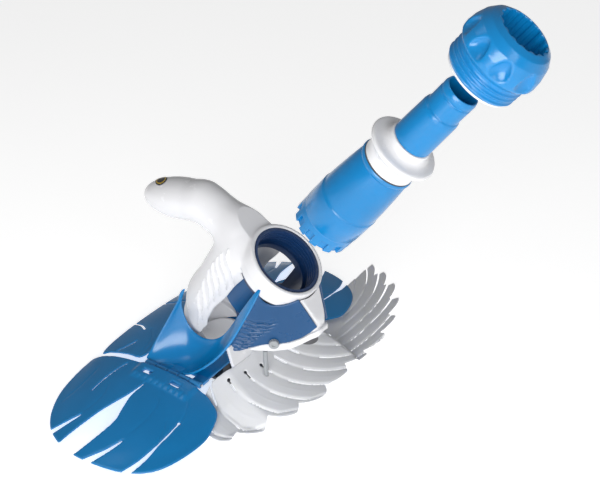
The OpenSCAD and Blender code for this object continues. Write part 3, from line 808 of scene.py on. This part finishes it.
def feather_phase(rho, turn):
    """Which feather a place is on, and how far across it: 0 at the lapped edge, 1 at the free one."""
    sweep = 7 * np.clip((-58 - turn) / 25, 0, 1) * np.clip((0.985 - rho) / 0.035, 0, 1)
    bend = SWIRL * np.maximum(0, 0.96 - rho)
    return np.divmod((turn + sweep + bend - FEATHER_START) / FEATHER_TURN, 1)


def node_radius(turn):
    return np.clip(0.68 - 0.0037 * (turn + 156), 0.5, 0.68)


def skirt_nodes():
    """The round eyes where two feathers part."""
    for k in range(1, 12):
        turn = FEATHER_START + k * FEATHER_TURN
        for _ in range(12):
            rho = float(node_radius(turn))
            turn = FEATHER_START + k * FEATHER_TURN - 7 - SWIRL * (0.96 - rho)
        yield (SKIRT_CENTRE[0] + SKIRT_REACH[0] * rho * math.cos(math.radians(turn)),
               SKIRT_CENTRE[1] + SKIRT_REACH[1] * rho * math.sin(math.radians(turn)))


def skirt_outline(x, y):
    rho, turn, span = skirt_polar(x, y)
    index, phase = feather_phase(rho, turn)
    reach = 1.0 - 0.08 * np.exp(-((turn + 90) / 17) ** 2) + 0.02 * np.exp(-((turn + 42) / 15) ** 2)
    lobe = np.mod((turn - FEATHER_START) / FEATHER_TURN, 1)
    rise = np.sin(np.clip(lobe / 0.86, 0, 1) * math.pi / 2)
    drop = np.sqrt(np.clip(1 - (np.clip(lobe - 0.86, 0, 0.14) / 0.14) ** 2, 0, 1))
    depth = 0.06 + 0.03 * np.clip((turn + 75) / 40, 0, 1)
    d = (rho - reach + depth * (1 - rise * drop)) * span * 0.8
    across = np.minimum(phase, 1 - phase) * math.radians(FEATHER_TURN) * rho * span * 0.75
    open_slit = 0.5 + 2.6 * np.clip((turn + 66) / 30, 0, 1) * np.clip((rho - 0.78) / 0.2, 0, 1)
    d = np.maximum(d, np.where(rho > node_radius(turn) + 0.2, open_slit - across, -9))
    near_eye = (turn < -112) & (rho > node_radius(turn)) & (rho < node_radius(turn) + 0.09)
    d = np.maximum(d, np.where(near_eye, 0.85 - across, -9))
    for eye in skirt_nodes():
        d = np.maximum(d, 2.0 - np.hypot(x - eye[0], y - eye[1]))
    d = np.maximum(d, -outline_distance(x, y, SKIRT_NECK))
    for side in (-1, 1):
        d = np.maximum(d, STUD_HOLE_R - np.hypot(x - side * STUD_X, y - STUD_Y))
    return np.maximum(d, y + 8)


def skirt_height(x, y):
    fall = np.hypot((x - 30) / 270, (y - 20) / 156)
    cone = 3 + 108 * np.maximum(0, 1 - fall) ** 1.3
    cap = dome_height(x, y) - 8 + np.maximum(0, 108 - np.abs(x)) * 0.9
    return np.maximum(3.0, join(cone, cap, 3))


def skirt_top(x, y):
    rho, turn, span = skirt_polar(x, y)
    index, phase = feather_phase(rho, turn)
    lap = np.clip((rho - node_radius(turn)) / 0.12, 0, 1)
    shingle = np.clip(phase / 0.09, 0, 1) * (1 - phase) ** 1.2
    crown = 4 * phase * (1 - phase)
    vein = np.exp(-((phase - 0.5) / 0.05) ** 2) * np.clip((rho - 0.72) * 6, 0,
                                                          1) * np.clip((0.95 - rho) * 10, 0, 1)
    return skirt_height(x, y) + lap * (1.5 * shingle + 0.8 * crown) + 0.35 * vein - 0.4


skirt_step = 1.15
points, faces = plate(skirt_outline, skirt_top, 1.8, (-190, -140), (328, -4), skirt_step)
mesh_piece("finned_skirt_sheet", points, faces, fin_white, "head", "white_fin", ["finned_skirt"], 35)

# ---- front hull
# A white moulding under the collar, closed on top and drawn to a low stem in front, with
# a narrow white lip round its foot. It holds the ballast over the finned skirt, and a
# thin wall hangs under its rear.

coated_iron = brushed("coated_iron", (0.16, 0.16, 0.17), 0.55)
dress(coated_iron, "ballast_weight")

HULL_BACK, HULL_STEM = np.array([-70.0, -24.0]), np.array([-9.0, -114.0])
HULL_LONG = length(HULL_STEM - HULL_BACK)
HULL_ALONG = (HULL_STEM - HULL_BACK) / HULL_LONG
HULL_OUT = np.array([HULL_ALONG[1], -HULL_ALONG[0]])
HULL_REAR = -30.0
KEEL_WIDE, KEEL_TOP, KEEL_LOW = 74.0, 84.0, 40.0
HULL_TOP = [(-20, 60), (-22, 79), (-55, 175), (-96, 150), (-116, 109), (-126, 100), (-126, 60)]
HULL_FLOOR = ([0, 30, 45, 60, 73, 87, 101, 114], [112, 104, 92, 88, 86, 91, 99, 105])
LIP_LOW = ([18, 22, 35, 53, 73, 87, 101, 114], [81, 80, 78, 77, 79, 86, 94, 99])
LIP_HIGH = ([18, 22, 38, 46, 60, 73, 87, 99, 110], [81, 81, 85.4, 86.6, 86.8, 88.2, 93.6, 101, 106])


def hull_places(p):
    q = np.stack([-np.abs(p[:, 0]), p[:, 1]], 1) - HULL_BACK
    return q @ HULL_ALONG, q @ HULL_OUT


def hull_shape(p):
    along, out = hull_places(p)
    y, z = p[:, 1], p[:, 2]
    stem = HULL_STEM[1] - y
    plan = cut(out + 1.0, -(stem + 1.0), 5)
    body = np.maximum(plan, y - HULL_REAR)
    body = cut(body, -outline_distance(y, z, HULL_TOP), 2)
    body = np.maximum(body, np.interp(along, *HULL_FLOOR) - z)
    low, high = np.interp(along, *LIP_LOW), np.interp(along, *LIP_HIGH)
    lip = cut(out - 3.6 + 0.2 * (z - low), -(stem - 2.4), 5)
    lip = cut(cut(lip, z - low, 1.6), high - z, 1.6)
    lip = np.maximum(np.maximum(lip, 18 - along), -out - 12)
    body = join(body, lip, 1.2)
    keel = np.maximum(np.abs(p[:, 0]) - KEEL_WIDE + 0.25 * (KEEL_TOP - z), np.abs(y + 23) - 2)
    keel = np.maximum(keel, np.abs(z - (KEEL_TOP + KEEL_LOW) / 2) - (KEEL_TOP - KEEL_LOW) / 2)
    body = np.minimum(body, keel - 0.6)
    x, back, up = bore_frame(p)
    body = cut(body, np.hypot(x, back) - CAVITY_R - 1, 0.8)
    return cut(body, np.maximum(np.hypot(x, back) - 51.6, -up - 80), 0.8)


points, faces = surface_from(hull_shape, (-78, -122, 38), (78, -17, 172), 1.1)
mesh_piece("hull_shell_skin", points, faces, white_gloss, "head", "white_shell", ["hull_shell"], 50)

# ---- side panels
# Navy cheeks clipped to the hull's two faces. Their deep blue is partly the navy plastic and partly painted
# shade. Each is flat above and tucks in below, where a fan of wavy ribs runs forward from the saddle's
# edge.

# Deep blue for the cheeks: the navy plastic darkened further as painted shade for faces turned from the
# light.
navy_and_painted_shade = moulded("navy_and_painted_shade", (0.0, 0.07, 0.21), gloss=0.3, peel=0.1, drift=0.08, edge=0.1)
PANEL_EDGE = [(-8, 76), (3, 93), (13, 108), (26, 135.5), (40, 167), (52, 172), (84, 152), (107, 110.5),
              (98, 102.2), (87, 94.6),
              (73, 89.2), (60, 87), (45, 86.6), (37, 84.8), (30, 82.4), (22, 79), (11, 74.6), (2, 73.4),
              (-7, 73.8)]
PANEL_RIBS = [((19, 123), (62, 117)), ((16, 117), (59, 112)), ((14, 111), (55, 107.5)),
              ((11, 104), (48, 103)),
              ((8, 98), (43, 98)), ((5, 92), (39, 94)), ((2, 86), (34, 89)), ((-1, 80), (27, 83.5))]


def panel_place(along, z, out):
    flat = HULL_BACK + np.outer(along, HULL_ALONG) + np.outer(out, HULL_OUT)
    return np.column_stack([flat, z])


PANEL_THICK = 2.4
COLLAR_GAP = 51.8


def panel_outline(along, z):
    d = outline_distance(along, z, PANEL_EDGE)
    x, back, up = bore_frame(panel_place(along, z, np.full(along.shape, PANEL_THICK)))
    return np.maximum(d, COLLAR_GAP - np.hypot(x, back))


def panel_top(along, z):
    height = np.full(along.shape, PANEL_THICK)
    tuck = np.clip(1 - (z - 74) / 38, 0, 1) * np.clip(1 - along / 52, 0, 1)
    height = height - 6 * tuck ** 1.5
    for start, end in PANEL_RIBS:
        u = (along - start[0]) / (end[0] - start[0])
        sag = 2.6 * np.sin(np.clip(u, 0, 1) * math.pi)
        line = start[1] + (end[1] - start[1]) * u - sag + 0.7 * np.sin(u * 15)
        fade = np.clip(u * 9, 0, 1) * np.clip((1 - u) * 3.4, 0, 1)
        groove = np.exp(-((z - line) / 1.25) ** 2)
        crest = np.exp(-((z - line - 2.6) / 1.3) ** 2)
        height = height - 1.5 * fade * groove + 0.5 * fade * crest
    return height


panel_step = 0.85
points, faces = plate(panel_outline, panel_top, PANEL_THICK, (-10, 70), (110, 174), panel_step)
points = panel_place(points[:, 0], points[:, 1], points[:, 2])
for side, name in ((-1, "side_panel_left"), (1, "side_panel_right")):
    shown = points * [-side, 1, 1]
    mesh_piece(name + "_cheek", shown, [f[::-1] for f in faces] if side > 0 else faces, navy_and_painted_shade, "head",
               "navy_plastic", [name], 40)

# ---- liner and its guard
# The navy liner screws into the collar on a rubber ring and carries the thread. A curved
# wall, moulded with it, stands beside the cassette's room and hides the diaphragm.

liner_navy = moulded("liner_navy", (0.002, 0.032, 0.12), gloss=0.34, peel=0.1, drift=0.1, edge=0.16)
dress(liner_navy, "bore_liner")
dress(black_rubber, "liner_seal")

guard_points, guard_faces = [], []
GUARD_ROWS, GUARD_COLS = 28, 20
GUARD_OUT, GUARD_IN = 39.4, 38.2
GUARD_FROM, GUARD_TURN = 152, 54
GUARD_TOP, GUARD_TALL = -34, 54
for layer in (GUARD_OUT, GUARD_IN):
    for row in range(GUARD_ROWS + 1):
        for col in range(GUARD_COLS + 1):
            a = math.radians(GUARD_FROM + GUARD_TURN * col / GUARD_COLS)
            up = GUARD_TOP - GUARD_TALL * row / GUARD_ROWS
            q = BORE_MOUTH + up * UP_BORE + layer * math.sin(a) * BACK_BORE
            guard_points.append((layer * math.cos(a), q[1], q[2]))
GUARD_N = (GUARD_ROWS + 1) * (GUARD_COLS + 1)
for row in range(GUARD_ROWS):
    for col in range(GUARD_COLS):
        a = row * (GUARD_COLS + 1) + col
        ring = [a, a + 1, a + GUARD_COLS + 2, a + GUARD_COLS + 1]
        guard_faces.append(ring[::-1])
        guard_faces.append([k + GUARD_N for k in ring])
GUARD_WIDE = GUARD_COLS + 1
edge = list(range(GUARD_WIDE)) + [r * GUARD_WIDE + GUARD_COLS for r in range(1, GUARD_ROWS + 1)]
edge += [GUARD_ROWS * GUARD_WIDE + c for c in range(GUARD_COLS - 1, -1, -1)]
edge += [r * GUARD_WIDE for r in range(GUARD_ROWS - 1, 0, -1)]
for a, b in zip(edge, edge[1:] + edge[:1]):
    guard_faces.append([a, b, b + GUARD_N, a + GUARD_N])
# The guard takes the same darkened navy, which is partly painted shade.
mesh_piece("liner_guard", guard_points, guard_faces, navy_and_painted_shade, "head", "navy_plastic", [], 40)

# ---- trim knobs
# Two small grey screws low on the cheeks, each with a milled rim and a shallow round hollow on top.


def on_bore(points, at=0.0):
    """Points in the bore's own frame, moved up the bore and into place."""
    p = np.asarray(points, float)
    return BORE_MOUTH + np.outer(p[:, 0], [1, 0, 0]) + np.outer(p[:, 1],
                                                                BACK_BORE) + np.outer(p[:, 2] + at, UP_BORE)


def turned(profile, around=96, teeth=0, depth=0.0, band=(0, 0)):
    """A ring turned from a closed profile of radius and height, with flutes round one band of it."""
    ring = np.array(profile, float)
    angle = 2 * math.pi * np.arange(around) / around
    points = []
    for r, h in ring:
        fluted = teeth and band[0] <= h <= band[1]
        flute = depth * (0.5 - 0.5 * np.cos(angle * teeth)) if fluted else 0 * angle
        points.append(np.stack([(r - flute) * np.cos(angle), (r - flute) * np.sin(angle),
                                np.full(around, h)], 1))
    faces = []
    for m in range(len(ring)):
        n = (m + 1) % len(ring)
        for k in range(around):
            j = (k + 1) % around
            faces.append([m * around + k, m * around + j, n * around + j, n * around + k])
    return np.concatenate(points), faces


def eased(corners, radius=0.8, steps=3):
    """A closed profile with each corner rounded."""
    p = np.array(corners, float)
    out = []
    for before, at, after in zip(np.roll(p, 1, 0), p, np.roll(p, -1, 0)):
        a, b = before - at, after - at
        reach = min(radius, length(a) * 0.45, length(b) * 0.45)
        a, b = at + a / length(a) * reach, at + b / length(b) * reach
        for t in np.arange(steps + 1) / steps:
            out.append((1 - t) ** 2 * a + 2 * t * (1 - t) * at + t ** 2 * b)
    return out


knob_grey = moulded("knob_grey", (0.36, 0.38, 0.40), gloss=0.32, peel=0.1, drift=0.05)
KNOB_ALONG, KNOB_Z, KNOB_R = 54.0, 89.0, 6.4
knob_profile = eased([(0.05, 0), (KNOB_R - 0.6, 0), (KNOB_R, 1.0), (KNOB_R, 4.2), (KNOB_R - 1.5, 5.6),
                      (2.6, 5.6), (2.2, 4.2), (0.05, 4.2)],
                     0.5)
knob_points, knob_faces = turned(knob_profile, 90, 15, 0.6, (0.9, 4.4))
knob_points = np.concatenate([knob_points[:, 0:1] + KNOB_ALONG, knob_points[:, 1:2] + KNOB_Z,
                              knob_points[:, 2:3] + 2.2], 1)
knob_left = panel_place(knob_points[:, 0], knob_points[:, 1], knob_points[:, 2])
both_knobs = add_parts((knob_left, knob_faces), (knob_left * [-1, 1, 1], [f[::-1] for f in knob_faces]))
mesh_piece("trim_knob_caps", *both_knobs, knob_grey, "head", "grey_plastic", ["trim_knobs"], 40)

# ---- cassette
# The blue cartridge that holds the rubber diaphragm, drawn out of the bore: a castellated
# cage, a barrel that narrows to a rolled lip, the white spool and the turning spout.

navy_rubber = moulded("navy_rubber", (0.012, 0.04, 0.12), gloss=0.5, peel=0.2, drift=0.1, edge=0.1,
                      grain=500)
dress(navy_rubber, "diaphragm")
dress(stud_grey, "diaphragm_ring", "compression_ring")
dress(black_rubber, "barrel_seal")
dress(stainless, "spout_circlip")

CASSETTE_UP = 225.0
BARREL_R, CASSETTE_L, CAGE_H = 37.0, 148.0, 22.0
NOTCHES = 12
NOTCH_W, NOTCH_H = 9.0, 13.0


def cage_shape(p):
    radial, up = np.hypot(p[:, 0], p[:, 1]), p[:, 2] + CASSETTE_L
    body = disc(radial, up, BARREL_R - 0.5, 0, CAGE_H, 1.0)
    body = cut(body, disc(radial, up, BARREL_R - 6.0, 3, CAGE_H + 30, 1.0), 0.8)
    body = cut(body, disc(radial, up, 17, -10, 20, 0.5), 0.8)
    turn = np.arctan2(p[:, 1], p[:, 0]) * NOTCHES / (2 * math.pi)
    across = (turn - np.round(turn)) * 2 * math.pi / NOTCHES * radial
    gap = np.maximum(np.maximum(np.abs(across) - NOTCH_W / 2, up - NOTCH_H), 33.4 - radial)
    return cut(body, gap, 0.8)


points, faces = surface_from(cage_shape, (-40, -40, -151), (40, 40, -123), 0.95)
mesh_piece("cassette_cage_teeth", on_bore(points, CASSETTE_UP), faces, blue_gloss, "cassette",
           "blue_shell", ["cassette_cage"], 45)

inner_wall = [(34.4, -127), (34.4, -93), (33.2, -84), (27, -34), (27, -21.6)]
rolled_lip = [(29.4, -21.6), (31.0, -22.2), (31.9, -23.6), (31.9, -25.4), (31.2, -26.8), (30.6, -28)]
outer_wall = [(31.2, -30), (33.4, -50), (35.0, -70), (36.0, -86), (36.0, -90.4), (36.3, -91.2),
              (36.9, -92), (37, -93), (37, -124.6), (36.6, -125.4), (36.6, -127)]
points, faces = turned(inner_wall + rolled_lip + outer_wall, 128)
mesh_piece("barrel_wall", on_bore(points, CASSETTE_UP), [f[::-1] for f in faces], blue_gloss, "cassette",
           "blue_shell", ["barrel"], 34)

spool_profile = smooth([(21.0, -20.4), (29.6, -20.4), (30.2, -19.6), (30.2, -14), (31, -9), (33.2, -4.4),
                        (36.2, -1.2), (38.4, 0.2),
                        (39.2, 2.2), (38.7, 4.4), (36.6, 5.6), (32.5, 6.2), (28.6, 7.4), (25.6, 10),
                        (24.3, 13.2), (24, 15.6), (23.2, 17), (21.2, 17), (20.6, 14), (20.6, -17)], True, 3)
points, faces = turned(spool_profile, 128)
mesh_piece("swivel_spool", on_bore(points, CASSETTE_UP), faces, white_gloss, "cassette", "white_shell",
           ["swivel_collar"], 60)

spout_profile = eased([(16.6, -22), (20.4, -22), (20.4, 17.6), (22.5, 17.6), (22.5, 24), (21.5, 61),
                       (20.6, 65), (19.2, 66.4),
                       (19.2, 84.5), (18.3, 85.4), (18.3, 86.6), (19.2, 87.4), (19.2, 91), (18.0, 94.6),
                       (17.2, 95), (16.6, 94.4)], 0.9)
points, faces = turned(spout_profile, 112)
mesh_piece("spout_pipe", on_bore(points, CASSETTE_UP), faces, blue_gloss, "spout", "blue_shell",
           ["spout_tube"], 34)

# ---- hand nut
# The big blue ring nut that clamps the cassette home: nine soft finger hollows round a
# domed body, three turns of coarse thread below, and a dark bore with ribs. A pale
# washer lies under it.

dress(fin_white, "slip_washer")

NUT_UP = CASSETTE_UP + 6 + 110
GRIPS = 9
NUT_BASE, NUT_THREAD = 2.3, 20.8
NUT_BODY = [(0, 0), (38.5, 0), (42.6, 4.5), (43, 9), (41.8, 17), (38.6, 26), (33.5, 33), (27.5, 36.6),
            (24, 37), (0, 37)]


def nut_shape(p):
    radial, up = np.hypot(p[:, 0], p[:, 1]), p[:, 2] - NUT_BASE
    turn = np.arctan2(p[:, 1], p[:, 0])
    wave = (up - 3.2) / 5.6
    crest = np.exp(-((wave - np.clip(np.round(wave), 0, 2)) / 0.24) ** 2)
    thread = disc(radial - 1.9 * crest, up, 37.2, 0, NUT_THREAD + 3, 0.8)
    dome = outline_distance(radial, up - NUT_THREAD, NUT_BODY)
    body = join(thread, dome - 0.4, 1.2)
    step = 2 * math.pi / GRIPS
    side = (turn - step * np.round(turn / step)) * radial
    lift = up - NUT_THREAD - 13.5
    narrow = 1 + 0.035 * lift
    hollow = np.sqrt((side / 9.6 * np.clip(narrow, 0.6, 1.6)) ** 2 + (lift / 12.5) ** 2
                     + ((radial - 45.5 + 0.28 * lift) / 8.0) ** 2) - 1
    body = cut(body, hollow * 7.0, 1.6)
    ribs = np.clip(np.cos(turn * 16) * 2.2, -1, 1)
    body = cut(body, np.maximum(radial - 26.0 + 0.9 * ribs, up - 80), 0.8)
    return cut(body, disc(radial, up, 33.6, -20, NUT_THREAD + 5, 0.6), 0.8)


points, faces = surface_from(nut_shape, (-46, -46, 0), (46, 46, 63), 0.95)
mesh_piece("hand_nut_grip", on_bore(points, NUT_UP), faces, blue_gloss, "nut", "blue_shell", ["hand_nut"],
           50)

# ---- nose badge
# A small plain domed oval let into the top of the nose: black with an amber border.

badge_black = moulded("badge_black", (0.02, 0.02, 0.022), gloss=0.2, peel=0.02, drift=0.1, edge=0.0)
badge_amber = moulded("badge_amber", (0.55, 0.36, 0.03), gloss=0.25, peel=0.02, drift=0.05, edge=0.0)
BADGE_AT = np.array([-2.0, 122.0, 221.0])
BADGE_LONG, BADGE_WIDE, BADGE_PROUD = 13, 8, 0.9
BADGE_RINGS = [0.0, 0.35, 0.62, 0.66, 0.84, 0.88, 0.97, 1.0]
axis = np.array([-0.15, 0.1, 1.0])
axis = axis / length(axis)
u = np.cross([0, 0, 1.0], axis)
u = u / length(u)
v = np.cross(axis, u)
points, faces, kinds = [], [], []
around = 56
for m, ring in enumerate(BADGE_RINGS):
    for k in range(around):
        a = 2 * math.pi * k / around
        start = BADGE_AT + axis * 60 + (u * BADGE_LONG * math.cos(a) + v * BADGE_WIDE * math.sin(a)) * ring
        for _ in range(60):
            start = start - axis * head_outside(start[None])[0]
        points.append(start + axis * (BADGE_PROUD if ring < 0.98 else -0.6))
    for k in range(around if m else 0):
        j = (k + 1) % around
        faces.append([(m - 1) * around + k, m * around + k, m * around + j, (m - 1) * around + j])
        kinds.append(1 if 0.62 <= BADGE_RINGS[m - 1] < 0.8 and ring > 0.66 else 0)
badge = mesh_piece("nose_badge_oval", points, faces, badge_black, "head", "badge", ["nose_badge"], 50)
badge.data.materials.append(badge_amber)
for face, kind in zip(badge.data.polygons, kinds):
    face.material_index = kind
